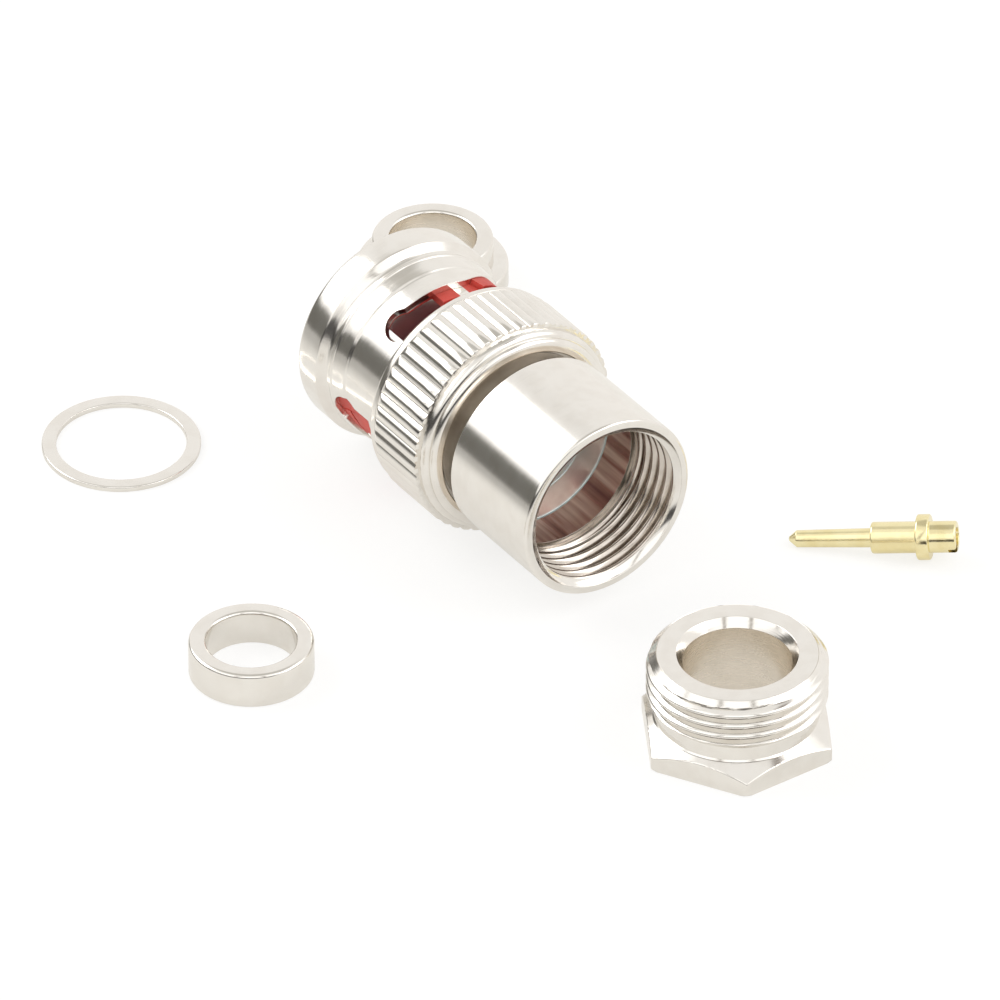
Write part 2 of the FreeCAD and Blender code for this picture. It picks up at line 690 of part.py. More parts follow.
def make_centre_pin():
    """Gold pin, lying with its tip and its collar on the surface."""
    barrel = "sizes.pin_barrel_od / 2"
    collar = "sizes.collar_od / 2"
    end = "sizes.pin_slim_length + sizes.pin_barrel_length"
    collar_front = "sizes.pin_slim_length + sizes.collar_setback"
    collar_rear = collar_front + " + sizes.collar_thickness"
    body = turned("pin_blank", [
        ("0", "0"),
        ("sizes.pin_nose_radius", "0"),
        ("sizes.pin_tip_od / 2", "sizes.pin_nose_length", "2.2 * sizes.pin_nose_length", -1),
        ("sizes.pin_root_od / 2", "sizes.pin_slim_length - sizes.pin_edge"),
        ("sizes.pin_root_od / 2", "sizes.pin_slim_length"),
        (barrel + " - sizes.pin_edge", "sizes.pin_slim_length"),
        (barrel, "sizes.pin_slim_length + sizes.pin_edge"),
        (barrel, collar_front),
        (collar + " - sizes.pin_edge", collar_front),
        (collar, collar_front + " + sizes.pin_edge"),
        (collar, collar_rear + " - sizes.pin_edge"),
        (collar + " - sizes.pin_edge", collar_rear),
        (barrel, collar_rear),
        (barrel, end + " - sizes.pin_edge"),
        (barrel + " - sizes.pin_edge", end),
        ("sizes.solder_bore / 2", end),
        ("sizes.solder_bore / 2", end + " - sizes.solder_depth"),
        ("0", end + " - sizes.solder_depth"),
    ])
    notch = primitive(
        "Box", "solder_notch", Length="sizes.pin_barrel_od", Width="sizes.solder_notch",
        Height="sizes.solder_notch", Placement_Base_y="-sizes.solder_notch / 2",
        Placement_Base_z=end + " - sizes.solder_notch")
    pin = cut("centre_pin", body, notch)

    touch_tip = (measure("sizes.pin_nose_length"), measure("sizes.pin_tip_od / 2"))
    touch_collar = (measure(collar_front + " + sizes.pin_edge"), measure(collar))
    tilt = math.atan2(touch_collar[1] - touch_tip[1], touch_collar[0] - touch_tip[0])
    tip_up = touch_tip[1] * math.cos(tilt) - touch_tip[0] * math.sin(tilt)
    heading = measure("sizes.pin_turn_angle")
    # The tip points along the heading and down by the tilt; the pin's Z runs from tip to cup.
    lean = Rotation(Vector(0, 0, 1), heading + 180).multiply(
        Rotation(Vector(0, 1, 0), 90 - math.degrees(tilt)))
    axis = lean.multVec(Vector(0, 0, 1))
    centre_along = measure(collar_front + " + sizes.collar_thickness / 2")
    base = Vector(measure("sizes.pin_x"), measure("sizes.pin_y"), 0) - axis * centre_along
    base.z = measure(FLOOR) + tip_up
    pin.Placement = FreeCAD.Placement(base, lean)
    keep(pin, "centre_pin")


def check_and_export():
    DOCUMENT.recompute()
    for item in DOCUMENT.Objects:
        if "Invalid" in item.State or "Error" in item.State:
            raise RuntimeError("%s is not right: %s" % (item.Label, item.State))
    os.makedirs("parts", exist_ok=True)
    for piece in pieces:
        shape = piece.Shape
        if shape.isNull() or not shape.isValid() or not shape.Solids:
            raise RuntimeError("%s has no valid solid" % piece.Label)
        shape.exportStep("parts/%s.step" % piece.Label)
        print("%-20s solids %d volume %.3f" % (piece.Label, len(shape.Solids), shape.Volume))


make_plug_body()
make_outer_contact()
make_insulator()
make_front_gasket()
make_retaining_ring()
make_thrust_washer()
make_spring_washer("spring_washer_rear", SPRING_REAR, False)
make_spring_washer("spring_washer_front", SPRING_MIDDLE, True)
make_coupling_nut()
make_slot_liner()
make_clamp_nut()
make_braid_clamp()
make_clamp_ring()
make_clamp_washer()
make_centre_pin()
check_and_export()
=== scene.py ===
"""Clamp-type BNC plug laid out as a kit: finished meshes, plated-metal materials and a white studio.

Sizes are millimetres and are turned into metres where a mesh is made. The plug's axis is Y, its
mating end points to +Y, and the loose pieces stand or lie on the floor with their axes along Z.
"""

import math

import bmesh
import bpy
from mathutils import Matrix, Vector


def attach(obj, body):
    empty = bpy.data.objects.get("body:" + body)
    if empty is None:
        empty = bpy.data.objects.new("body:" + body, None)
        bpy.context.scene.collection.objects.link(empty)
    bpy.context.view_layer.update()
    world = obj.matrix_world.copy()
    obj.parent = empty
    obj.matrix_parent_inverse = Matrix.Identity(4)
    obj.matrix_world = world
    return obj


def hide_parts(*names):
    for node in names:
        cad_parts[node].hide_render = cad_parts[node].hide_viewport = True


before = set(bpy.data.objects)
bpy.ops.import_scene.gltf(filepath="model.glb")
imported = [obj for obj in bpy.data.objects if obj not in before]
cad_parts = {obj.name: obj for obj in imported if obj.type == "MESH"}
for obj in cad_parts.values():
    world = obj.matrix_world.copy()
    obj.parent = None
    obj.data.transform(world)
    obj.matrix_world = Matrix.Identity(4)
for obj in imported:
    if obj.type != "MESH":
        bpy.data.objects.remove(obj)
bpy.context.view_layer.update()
MM = 0.001
TURN = 2 * math.pi
SAME = 1e-6

# Barrel of the plug: radii, and places along its axis from the cable thread's mouth
BARREL_R = 6.05
BARREL_FRONT = 8.0
BOSS_FRONT = 9.9
THREAD_R = 5.1
THREAD_DEPTH = 0.42
THREAD_PITCH = 0.75
THREAD_START = 0.3
THREAD_END = 4.1
CHAMBER_R = 5.0
CHAMBER_FLOOR = 7.2
SHANK_R = 4.4
WEB_HOLE_R = 2.95

# Coupling nut: its rear, knurled ring, sleeve, ledge and front band
NUT_REAR = 9.3
NUT_FRONT = 23.6
NUT_BORE_R = 5.7
KNURL_REAR = 10.25
KNURL_FRONT = 15.5
KNURL_R = 7.25
KNURL_COUNT = 50
KNURL_DEPTH = 0.16
KNURL_STEPS = 14
SLEEVE_R = 6.15
SLEEVE_OVERLAP = 0.6
LEDGE_R = 6.4
LEDGE_REAR = 20.7
BAND_R = 6.85
BAND_REAR = 21.5
BAND_SHOULDER = 20.7
MATING_R = 4.95
LONGEST_RUN = 0.7

# Cam slots: places along the axis, and angles in degrees about it
SIDES = (0, 180)
SLOT_WIDTH = 2.1
SLOT_HOLE = 2.4
SLOT_ENTRY = 19.4
SLOT_RUN = 16.8
SLOT_DETENT = 17.1
SLOT_SMOOTHING = 7
ENTRY_ANGLE = -17.9
RAMP_ANGLE = 53.0
FLAT_ANGLE = 45.5
DETENT_ANGLE = 8.0
CHANNEL_WIDTH = 1.7
CHANNEL_RUNOUT = 2.4
ENTRY_INNER_R = 3.5
CUT_INNER_R = 4.3
CUT_OUTER_R = 7.6

# Red liner: window, lips, slit and key strip, with the angles where they begin or end
LINER_R = 5.12
LINER_WINDOW = 3.0
LIPS_TO = -94.0
LIPS_RAISED_TO = -62.0
LIPS_R = 6.04
LIP_SLIT = 0.25
LIP_GAP = 0.04
KEY_FROM = -75.0
KEY_TO = -83.0

# Loose pieces: where they stand or lie on the floor, and their turns in degrees
FLOOR = -7.25
CLAMP_NUT_AT = (-1.2, -15.35)
CLAMP_NUT_TURN = 0.3
WASHER_AT = (-15.32, 30.73)
RING_AT = (-21.61, 6.67)
BRAID_AT = (10.68, 34.58)
PIN_AT = (18.88, -6.92)
PIN_HEADING = 137.0
NOTCH_WIDTH = 0.5
NOTCH_DEPTH = 0.5
NOTCH_TURN = -55

# Materials: depth of turning marks and of a moulded skin, how far light goes in, finer marks one way
MARK_DEPTH = 0.012
SKIN_DEPTH = 0.01
SCATTER_REACH = 0.6
RING_SQUEEZE = 26

# Camera: how the photograph was taken
CAMERA_TARGET = (0.78, 12.66, -7.25)
CAMERA_TOWARDS = (-0.5664, -0.8241)
CAMERA_ELEVATION = 35.75
CAMERA_DISTANCE = 800.0
PIXELS_PER_MM = 16.2
SENSOR = 36.0
PICTURE = 1000

# Studio: floor, light tent and lamps
FLOOR_SIDE = 170.0
FLOOR_CENTRE = 8.0
FLOOR_GAP = 0.002
TENT_PANELS = 7
TENT_PHASE = 0.94
LAMP_DISTANCE = 600.0


def along_y():
    """Turns a piece from standing along Z to lying along the plug's axis."""
    return Matrix.Rotation(math.radians(-90), 4, "X")


def on_floor(place, turn=0.0):
    """Puts a piece on the floor, standing along Z, and turns it by degrees."""
    return Matrix.Translation((place[0], place[1], FLOOR)) @ Matrix.Rotation(math.radians(turn), 4, "Z")


def rounded(corners, steps=4):
    """A closed outline of (radius, height) points with its corners rounded.

    A corner is (radius, height) where it stays sharp, or (radius, height, rounding).
    """
    out = []
    count = len(corners)
    for number, corner in enumerate(corners):
        here = Vector(corner[:2])
        if len(corner) == 2 or not corner[2]:
            out.append(tuple(here))
            continue
        back = Vector(corners[number - 1][:2]) - here
        ahead = Vector(corners[(number + 1) % count][:2]) - here
        half = back.angle(ahead) / 2
        reach = min(corner[2] / math.tan(half), back.length * 0.49, ahead.length * 0.49)
        start = here + back.normalized() * reach
        end = here + ahead.normalized() * reach
        for step in range(steps + 1):
            part = step / steps
            point = start * (1 - part) ** 2 + here * (2 * part * (1 - part)) + end * part ** 2
            out.append(tuple(point))
    return out


def divided(outline, longest):
    """The outline with its long straight runs divided."""
    out = []
    for number, point in enumerate(outline):
        following = Vector(outline[(number + 1) % len(outline)])
        here = Vector(point)
        count = max(1, math.ceil((following - here).length / longest))
        out += [tuple(here.lerp(following, step / count)) for step in range(count)]
    return out


def lathe(name, outline, place, columns=192, shape=None, closed=True):
    """Turns an outline about Z, lets shape(radius, height, angle) move each point, and places it."""
    rows = len(outline)
    points = []
    for column in range(columns):
        angle = TURN * column / columns
        for radius, height in outline:
            if shape:
                radius, height = shape(radius, height, angle)
            points.append((radius * math.cos(angle), radius * math.sin(angle), height))
    faces = []
    for column in range(columns):
        here = column * rows
        following = (column + 1) % columns * rows
        for row in range(rows if closed else rows - 1):
            upper = (row + 1) % rows
            faces.append((here + row, following + row, following + upper, here + upper))
    return finished(name, points, faces, place)


def finished(name, points, faces, place):
    """A piece made of points in millimetres, with its faces turned outward."""
    mesh = bpy.data.meshes.new(name)
    mesh.from_pydata(points, [], faces)
    mesh.transform(Matrix.Scale(MM, 4) @ place)
    work = bmesh.new()
    work.from_mesh(mesh)
    bmesh.ops.remove_doubles(work, verts=work.verts, dist=1e-7)
    bmesh.ops.recalc_face_normals(work, faces=work.faces)
    work.to_mesh(mesh)
    work.free()
    for face in mesh.polygons:
        face.use_smooth = True
    piece = bpy.data.objects.new(name, mesh)
    bpy.context.scene.collection.objects.link(piece)
    return piece


def apply_all(piece):
    """Applies the piece's modifiers."""
    bpy.context.view_layer.update()
    shown = piece.evaluated_get(bpy.context.evaluated_depsgraph_get())
    mesh = bpy.data.meshes.new_from_object(shown)
    piece.modifiers.clear()
    old = piece.data
    piece.data = mesh
    bpy.data.meshes.remove(old)


def cut_by(piece, cutters):
    """Takes the cutters, joined into one mesh, out of the piece."""
    joined = bmesh.new()
    for cutter in cutters:
        joined.from_mesh(cutter.data)
    joined.to_mesh(cutters[0].data)
    joined.free()
    step = piece.modifiers.new("cut", "BOOLEAN")
    step.operation = "DIFFERENCE"
    step.solver = "EXACT"
    step.use_self = True
    step.object = cutters[0]
    apply_all(piece)
    for cutter in cutters:
        bpy.data.objects.remove(cutter)


def add_to(piece, others):
    """Joins the other solids into the piece's mesh."""
    joined = bmesh.new()
    for part in [piece] + others:
        joined.from_mesh(part.data)
    joined.to_mesh(piece.data)
    joined.free()
    for part in others:
        bpy.data.objects.remove(part)


def block(name, low, high, place):
    """A straight-sided solid between two corners."""
    points = [(x, y, z) for x in (low[0], high[0]) for y in (low[1], high[1]) for z in (low[2], high[2])]
    faces = [(0, 1, 3, 2), (4, 6, 7, 5), (0, 4, 5, 1), (2, 3, 7, 6), (0, 2, 6, 4), (1, 5, 7, 3)]
    return finished(name, points, faces, place)


def even_normals(piece, crease):
    """Smooth shading that keeps large faces flat; crease is the angle from which an edge stays."""
    piece.data.set_sharp_from_angle(angle=math.radians(crease))
    step = piece.modifiers.new("even normals", "WEIGHTED_NORMAL")
    step.keep_sharp = True
    step.weight = 60


def dress(piece, body, node, material):
    """Gives a piece its material, the body it moves with and the node that it replaces."""
    piece.data.materials.clear()
    piece.data.materials.append(material)
    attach(piece, body)
    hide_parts(node)


def repaint(piece, place, material, inside):
    """Adds a material, for the faces whose middle meets inside(radius, height, angle in degrees)."""
    number = len(piece.data.materials)
    piece.data.materials.append(material)
    back = place.inverted()
    for face in piece.data.polygons:
        x, y, z = back @ (face.center / MM)
        if inside(math.hypot(x, y), z, math.degrees(math.atan2(y, x))):
            face.material_index = number


def new_material(name):
    """An empty node material."""
    material = bpy.data.materials.new(name)
    material.use_nodes = True
    material.node_tree.nodes.clear()
    return material


class Nodes:
    """Short calls for building a node tree."""

    def __init__(self, tree):
        self.tree = tree

    def add(self, kind, **settings):
        node = self.tree.nodes.new(kind)
        for key, value in settings.items():
            setattr(node, key, value)
        return node

    def link(self, source, target):
        self.tree.links.new(source, target)

    def feed(self, node, **values):
        """Sets or links inputs by name; a double underscore stands for a space."""
        for key, value in values.items():
            socket = node.inputs[key.replace("__", " ")]
            if isinstance(value, bpy.types.NodeSocket):
                self.link(value, socket)
            else:
                socket.default_value = value
        return node

    def math(self, operation, first, second=0.0, clamp=False):
        node = self.add("ShaderNodeMath", operation=operation, use_clamp=clamp)
        for socket, value in zip(node.inputs, (first, second)):
            if isinstance(value, bpy.types.NodeSocket):
                self.link(value, socket)
            else:
                socket.default_value = value
        return node.outputs[0]

    def ramp(self, value, *stops):
        node = self.add("ShaderNodeValToRGB")
        elements = node.color_ramp.elements
        while len(elements) < len(stops):
            elements.new(0.5)
        for element, (place, colour) in zip(elements, stops):
            element.position = place
            element.color = (*colour, 1)
        self.link(value, node.inputs[0])
        return node.outputs[0]

    def smooth(self, value, low, high, to_low=0.0, to_high=1.0):
        node = self.add("ShaderNodeMapRange", interpolation_type="SMOOTHSTEP")
        self.link(value, node.inputs[0])
        for number, setting in enumerate((low, high, to_low, to_high), start=1):
            node.inputs[number].default_value = setting
        return node.outputs[0]

    def noise(self, vector, scale, detail=3.0, stretch=(1, 1, 1)):
        mapping = self.add("ShaderNodeMapping")
        self.link(vector, mapping.inputs["Vector"])
        mapping.inputs["Scale"].default_value = stretch
        node = self.add("ShaderNodeTexNoise")
        self.feed(node, Vector=mapping.outputs[0], Scale=scale, Detail=detail)
        return node.outputs["Fac"]

    def mix(self, factor, first, second):
        node = self.add("ShaderNodeMix", data_type="RGBA")
        for number, value in ((0, factor), (6, first), (7, second)):
            if isinstance(value, bpy.types.NodeSocket):
                self.link(value, node.inputs[number])
            elif number:
                node.inputs[number].default_value = (*value, 1)
            else:
                node.inputs[number].default_value = value
        return node.outputs[2]


def plated(name, colour, tint, rough, axis, edge=0.0):
    """Polished plating on metal turned about an axis: cloudy tone, uneven gloss, fine turning marks.

    edge is the radius in millimetres by which shading rounds the sharp edges.
    """
    material = new_material(name)
    n = Nodes(material.node_tree)
    place = n.add("ShaderNodeTexCoord").outputs["Object"]
    cloud = n.noise(place, 900.0)
    fine = n.noise(place, 5200.0, 2.0)
    rings = n.noise(place, 420.0, 4.0, (1, RING_SQUEEZE, 1) if axis == "Y" else (1, 1, RING_SQUEEZE))
    height = n.math("MULTIPLY_ADD", fine, 0.25)
    n.link(rings, height.node.inputs[2])
    bump = n.add("ShaderNodeBump")
    n.feed(bump, Strength=0.25, Distance=MARK_DEPTH * MM, Height=height)
    if edge:
        rounding = n.add("ShaderNodeBevel", samples=6)
        rounding.inputs["Radius"].default_value = edge * MM
        n.link(rounding.outputs[0], bump.inputs["Normal"])
    shader = n.add("ShaderNodeBsdfPrincipled")
    n.feed(
        shader, Base__Color=n.mix(n.smooth(cloud, 0.35, 0.7), colour, tint), Metallic=1.0,
        Roughness=n.smooth(rings, 0.25, 0.8, rough, rough + 0.05), Normal=bump.outputs[0])
    n.link(shader.outputs[0], n.add("ShaderNodeOutputMaterial").inputs[0])
    return material


def streaked(name, stops, rough):
    """Metal with colour streaks along the plug's axis, from the given stops; the chamber uses it for
    painted reflections and shade.
    """
    material = new_material(name)
    n = Nodes(material.node_tree)
    place = n.add("ShaderNodeTexCoord").outputs["Object"]
    streaks = n.noise(place, 750.0, 5.0, (1, 0.05, 1))
    bump = n.add("ShaderNodeBump")
    n.feed(bump, Strength=0.3, Distance=MARK_DEPTH * MM, Height=streaks)
    shader = n.add("ShaderNodeBsdfPrincipled")
    n.feed(
        shader, Base__Color=n.ramp(streaks, *stops), Metallic=1.0,
        Roughness=n.smooth(streaks, 0.3, 0.7, rough, rough + 0.1), Normal=bump.outputs[0])
    n.link(shader.outputs[0], n.add("ShaderNodeOutputMaterial").inputs[0])
    return material


def soft_plastic(name, colour, shade, rough, scatter):
    """PTFE or silicone: a little light goes in, and the skin is faintly uneven."""
    material = new_material(name)
    n = Nodes(material.node_tree)
    place = n.add("ShaderNodeTexCoord").outputs["Object"]
    cloud = n.noise(place, 700.0)
    skin = n.noise(place, 6500.0, 4.0)
    bump = n.add("ShaderNodeBump")
    n.feed(bump, Strength=0.4, Distance=SKIN_DEPTH * MM, Height=skin)
    shader = n.add("ShaderNodeBsdfPrincipled")
    n.feed(
        shader, Base__Color=n.mix(n.smooth(cloud, 0.3, 0.7), colour, shade),
        Roughness=n.smooth(skin, 0.3, 0.7, rough, rough + 0.12),
        Subsurface__Weight=scatter, Subsurface__Scale=SCATTER_REACH * MM, Normal=bump.outputs[0])
    n.link(shader.outputs[0], n.add("ShaderNodeOutputMaterial").inputs[0])
    return material


NICKEL = (0.86, 0.835, 0.795)
NICKEL_WARM = (0.83, 0.80, 0.755)
nickel_y = plated("nickel along", NICKEL, NICKEL_WARM, 0.13, "Y")
nickel_edged = plated("nickel with rounded edges", NICKEL, NICKEL_WARM, 0.13, "Y", edge=0.09)
nickel_z = plated("nickel upright", NICKEL, NICKEL_WARM, 0.12, "Z")
silver = plated("silver", (0.86, 0.85, 0.83), (0.80, 0.79, 0.77), 0.22, "Y")
# Painted shade: bores get darker, warmer plating than the outside; it is also rougher.
bore_painted_shade = plated("bore with painted shade", (0.86, 0.80, 0.715), (0.80, 0.745, 0.66), 0.26, "Z")
# Painted shade: the barrel's cable thread, inside its mouth, is painted darker than the outside.
thread_painted_shade = plated("thread with painted shade", (0.68, 0.625, 0.57), (0.58, 0.525, 0.47), 0.14, "Y")
# Painted shade: brownish, darker plating on the barrel's neck and the knurled ring's rear bore, which
# face each other across the gap; it is also rougher.
gap_painted_shade = plated("plating with painted gap shade", (0.84, 0.77, 0.68), (0.74, 0.665, 0.57), 0.28, "Y")
maroon = soft_plastic("red silicone in shade", (0.30, 0.03, 0.035), (0.22, 0.02, 0.025), 0.5, 0.05)
dull_nickel = plated("dull plating", (0.86, 0.97, 0.97), (0.77, 0.87, 0.87), 0.38, "Y")
# Painted reflections and shade: the chamber wall is copper-brown with dark maroon and light pink streaks
# along the axis.
chamber_painted_reflections = streaked("chamber wall with painted reflections", (
    (0.32, (0.20, 0.085, 0.075)),
    (0.46, (0.50, 0.25, 0.20)),
    (0.58, (0.90, 0.64, 0.54)),
    (0.70, (0.44, 0.20, 0.16)),
), 0.24)
spring = plated("spring steel", (0.60, 0.59, 0.58), (0.52, 0.51, 0.50), 0.3, "Y")
gold = plated("gold", (0.92, 0.83, 0.51), (0.87, 0.76, 0.43), 0.13, "Z")
ptfe = soft_plastic("ptfe", (0.90, 0.90, 0.88), (0.84, 0.84, 0.81), 0.4, 0.15)
silicone = soft_plastic("red silicone", (0.70, 0.085, 0.06), (0.58, 0.06, 0.045), 0.5, 0.1)


def thread_wave(turns):
    """Height of a rounded V thread, from 0 in the root to 1 on the crest."""
    part = turns % 1.0
    return (0.5 - 0.5 * math.cos(TURN * part)) ** 0.7


def thread_root(height, angle, depth, start, end, lead):
    """How far a thread is cut below its crest at a height and angle; it runs out at both ends."""
    turns = height / THREAD_PITCH - angle / TURN
    fade = min(max((height - start) / lead, 0.0), 1.0) * min(max((end - height) / lead, 0.0), 1.0)
    return depth * (1 - thread_wave(turns)) * fade


def make_barrel():
    """Barrel of the plug, with the cable thread and the chamber behind its web."""
    rows = 110
    neck = BARREL_R - 0.65
    relief = THREAD_R + 0.2
    relief_front = THREAD_END + 0.55
    outline = rounded([
        (THREAD_R + THREAD_DEPTH, 0.0, 0.04),
        (BARREL_R, 0.0, 0.22),
        (BARREL_R, BARREL_FRONT, 0.1),
        (neck + 0.05, BARREL_FRONT + 0.6, 0.1),
        (neck, BARREL_FRONT + 0.65),
        (neck, BOSS_FRONT, 0.05),
        (SHANK_R, BOSS_FRONT),
        (SHANK_R, BARREL_FRONT),
        (WEB_HOLE_R, BARREL_FRONT),
        (WEB_HOLE_R, CHAMBER_FLOOR, 0.12),
        (CHAMBER_R, CHAMBER_FLOOR, 0.12),
        (CHAMBER_R, relief_front, 0.03),
        (relief, relief_front, 0.03),
        (relief, THREAD_END),
    ])
    for row in range(rows + 1):
        outline.append((THREAD_R, THREAD_END - (THREAD_END - THREAD_START) * row / rows))

    def shape(radius, height, angle):
        if abs(radius - THREAD_R) < SAME and THREAD_START <= height <= THREAD_END:
            radius += thread_root(height, angle, THREAD_DEPTH, 0.0, THREAD_END, 0.35)
        return radius, height

    def in_chamber(radius, height, angle):
        along = relief_front + 0.02 < height < CHAMBER_FLOOR - 0.1
        return along and CHAMBER_R - 0.1 < radius < CHAMBER_R + 0.02

    def on_web(radius, height, angle):
        return abs(height - CHAMBER_FLOOR) < 0.1 and radius < CHAMBER_R

    def in_thread(radius, height, angle):
        return THREAD_START < height < relief_front + 0.02 and radius < THREAD_R + 0.6

    def on_neck(radius, height, angle):
        return height > BARREL_FRONT + 0.1

    place = along_y()
    piece = lathe("barrel", outline, place, 240, shape)
    even_normals(piece, 50)
    dress(piece, "plug", "plug_body", nickel_y)
    # painted reflections and shade on the chamber wall
    repaint(piece, place, chamber_painted_reflections, in_chamber)
    repaint(piece, place, dull_nickel, on_web)
    # painted shade in the cable thread
    repaint(piece, place, thread_painted_shade, in_thread)
    # painted shade on the neck, in the gap under the nut
    repaint(piece, place, gap_painted_shade, on_neck)


def slot_line():
    """Centre line of a cam slot, unrolled onto the sleeve: entry, ramp, flat run and detent."""
    flat_from = ENTRY_ANGLE - RAMP_ANGLE
    flat_to = flat_from - FLAT_ANGLE
    stops = [
        (ENTRY_ANGLE, SLOT_ENTRY),
        (flat_from, SLOT_RUN),
        (flat_to, SLOT_RUN),
        (flat_to - DETENT_ANGLE, SLOT_DETENT),
    ]
    line = []
    for (a0, h0), (a1, h1) in zip(stops, stops[1:]):
        count = max(2, round(abs(a1 - a0)))
        line += [Vector((a0 + (a1 - a0) * k / count, h0 + (h1 - h0) * k / count)) for k in range(count)]
    line.append(Vector(stops[-1]))
    smooth = []
    for number in range(len(line)):
        near = min(SLOT_SMOOTHING, number, len(line) - 1 - number)
        window = line[number - near:number + near + 1]
        smooth.append(sum(window, Vector((0, 0))) / len(window))
    per_degree = math.radians(1) * SLEEVE_R
    return [Vector((point.x * per_degree, point.y)) for point in smooth]


def slot_cutter(width, side, first=0.0, last=-180.0, inner=CUT_INNER_R, outer=CUT_OUTER_R):
    """A solid that follows the cam slot from one angle to another; side is 0 or 180 degrees."""
    per_degree = math.radians(1) * SLEEVE_R
    flat = [point for point in slot_line() if last <= point.x / per_degree <= first]
    half = width / 2
    points = []
    faces = []
    for number, point in enumerate(flat):
        before = flat[max(number - 1, 0)]
        after = flat[min(number + 1, len(flat) - 1)]
        heading = (after - before).normalized()
        across = Vector((-heading.y, heading.x)) * half
        for sign, radius in ((1, inner), (-1, inner), (-1, outer), (1, outer)):
            points.append(wrapped(point + across * sign, radius, side))
    for number in range(len(flat) - 1):
        here = 4 * number
        for corner in range(4):
            following = (corner + 1) % 4
            faces.append((here + corner, here + following, here + 4 + following, here + 4 + corner))
    faces.append((3, 2, 1, 0))
    end = 4 * (len(flat) - 1)
    faces.append((end, end + 1, end + 2, end + 3))
    return finished("slot cutter", points, faces, along_y())


def wrapped(spot, radius, side):
    """A point of the unrolled sleeve, put back at a radius about Z."""
    angle = math.radians(side) + spot.x / SLEEVE_R
    return (radius * math.cos(angle), radius * math.sin(angle), spot.y)


def hole_cutter(width, spot, side, inner=CUT_INNER_R, outer=CUT_OUTER_R):
    """The round hole at an end of the slot."""
    columns = 48
    points = []
    for radius in (inner, outer):
        for column in range(columns):
            turn = TURN * column / columns
            around = Vector((math.cos(turn), math.sin(turn))) * (width / 2)
            points.append(wrapped(spot + around, radius, side))
    faces = [tuple(range(columns - 1, -1, -1)), tuple(range(columns, 2 * columns))]
    for column in range(columns):
        following = (column + 1) % columns
        faces.append((column, following, columns + following, columns + column))
    return finished("hole cutter", points, faces, along_y())


def at_entry(side):
    """Puts a piece at a slot's entry, with its X axis pointing outward."""
    return along_y() @ Matrix.Rotation(math.radians(ENTRY_ANGLE + side), 4, "Z")


def lug_channel(side):
    """The milled channel's run-out through the sleeve, behind the entry."""
    half = CHANNEL_WIDTH / 2
    low = (LINER_R + 0.4, -half, SLOT_ENTRY - CHANNEL_RUNOUT)
    return block("lug channel", low, (BAND_R + 0.5, half, SLOT_ENTRY), at_entry(side))


def entry_groove(side):
    """The groove in the band's bore that lets a lug in from the front."""
    half = SLOT_WIDTH / 2
    low = (ENTRY_INNER_R, -half, SLOT_ENTRY)
    return block("entry groove", low, (NUT_BORE_R, half, NUT_FRONT + 1), at_entry(side))


def make_nut_front():
    """Sleeve, ledge and band of the coupling nut, with both cam slots."""
    sleeve_rear = KNURL_FRONT - SLEEVE_OVERLAP
    ridge = LEDGE_R + 0.03
    outline = rounded([
        (NUT_BORE_R, sleeve_rear),
        (SLEEVE_R, sleeve_rear),
        (SLEEVE_R, LEDGE_REAR - 1.36, 0.12),
        (SLEEVE_R + 0.1, LEDGE_REAR - 1.2, 0.12),
        (LEDGE_R - 0.04, LEDGE_REAR - 0.14, 0.2),
        (ridge, LEDGE_REAR - 0.08, 0.06),
        (ridge, LEDGE_REAR + 0.08, 0.06),
        (LEDGE_R - 0.06, LEDGE_REAR + 0.16, 0.1),
        (LEDGE_R - 0.04, BAND_REAR - 0.35, 0.9),
        (BAND_R - 0.14, BAND_REAR, 0.12),
        (BAND_R, BAND_REAR + 0.14, 0.12),
        (BAND_R, NUT_FRONT, 0.24),
        (MATING_R + 0.3, NUT_FRONT, 0.05),
        (MATING_R, NUT_FRONT - 0.3, 0.08),
        (MATING_R, BAND_SHOULDER),
        (NUT_BORE_R, BAND_SHOULDER),
    ])
    piece = lathe("nut_front", divided(outline, LONGEST_RUN), along_y(), 240)
    line = slot_line()
    cutters = []
    for side in SIDES:
        cutters.append(slot_cutter(SLOT_WIDTH, side))
        cutters.append(hole_cutter(SLOT_HOLE, line[0], side))
        cutters.append(hole_cutter(SLOT_HOLE, line[-1], side))
    cutters += [entry_groove(side) for side in SIDES]
    cutters += [lug_channel(side) for side in SIDES]
    cut_by(piece, cutters)
    even_normals(piece, 32)
    dress(piece, "coupling", "coupling_nut", nickel_edged)


